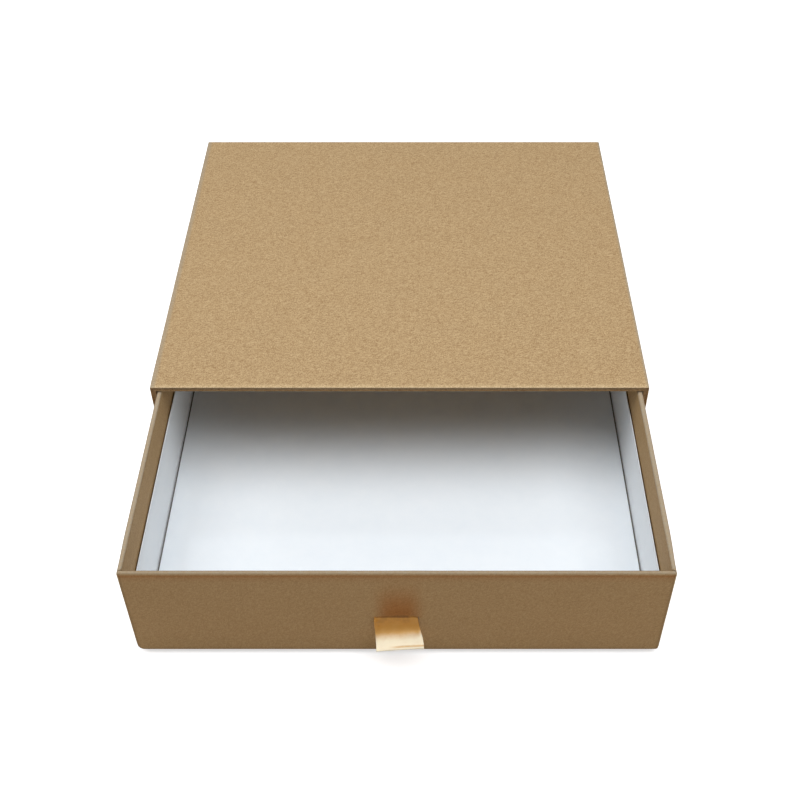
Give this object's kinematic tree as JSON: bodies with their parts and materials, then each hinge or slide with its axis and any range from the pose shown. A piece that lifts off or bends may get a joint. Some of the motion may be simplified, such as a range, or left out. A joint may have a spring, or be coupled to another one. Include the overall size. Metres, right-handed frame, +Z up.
{
  "type": "sliding drawer gift box",
  "caption": "Flat rigid gift box: a kraft-wrapped sleeve, open at one end, with a white-lined tray that slides out like a drawer by a satin ribbon pull.",
  "frame": {"origin": "centre of the sleeve's underside, on the surface that the box stands on", "axes": "+Z up, -Y towards the open mouth and the drawer's front, +X to the right seen from that side"},
  "size_m": [0.22, 0.3097, 0.057],
  "materials": {
    "greyboard": "matte",
    "kraft_paper": "matte",
    "paper_tape": "matte",
    "white_paper": "satin",
    "white_card": "satin",
    "satin_ribbon": "satin"
  },
  "bodies": {
    "sleeve": {"sleeve_top_board": "greyboard", "sleeve_base_board": "greyboard", "sleeve_left_board": "greyboard", "sleeve_right_board": "greyboard", "sleeve_back_board": "greyboard", "sleeve_outer_wrap": "kraft_paper", "sleeve_base_sheet": "kraft_paper", "sleeve_edge_tapes": "paper_tape", "sleeve_back_tapes": "paper_tape", "sleeve_wall_lining": "kraft_paper", "sleeve_back_lining": "kraft_paper"},
    "drawer": {"drawer_base_board": "greyboard", "drawer_front_board": "greyboard", "drawer_back_board": "greyboard", "drawer_left_board": "greyboard", "drawer_right_board": "greyboard", "drawer_outer_wrap": "kraft_paper", "drawer_corner_stays": "paper_tape", "drawer_front_lining": "white_paper", "drawer_back_lining": "white_paper", "drawer_left_lining": "white_paper", "drawer_right_lining": "white_paper", "drawer_floor_card": "white_card", "ribbon_tails": "satin_ribbon"},
    "pull": {"ribbon_pull": "satin_ribbon"}
  },
  "joints": [
    {"name": "drawer_slide", "type": "slide", "parent": "sleeve", "child": "drawer", "axis": [0, -1, 0], "range_m": [-0.099, 0.103]},
    {"name": "ribbon_lift", "type": "hinge", "parent": "drawer", "child": "pull", "pos_m": [0, -0.1997, 0.0259], "axis": [-1, 0, 0], "range_deg": [-20, 60], "stiffness_Nm_per_rad": 0.0003}
  ]
}
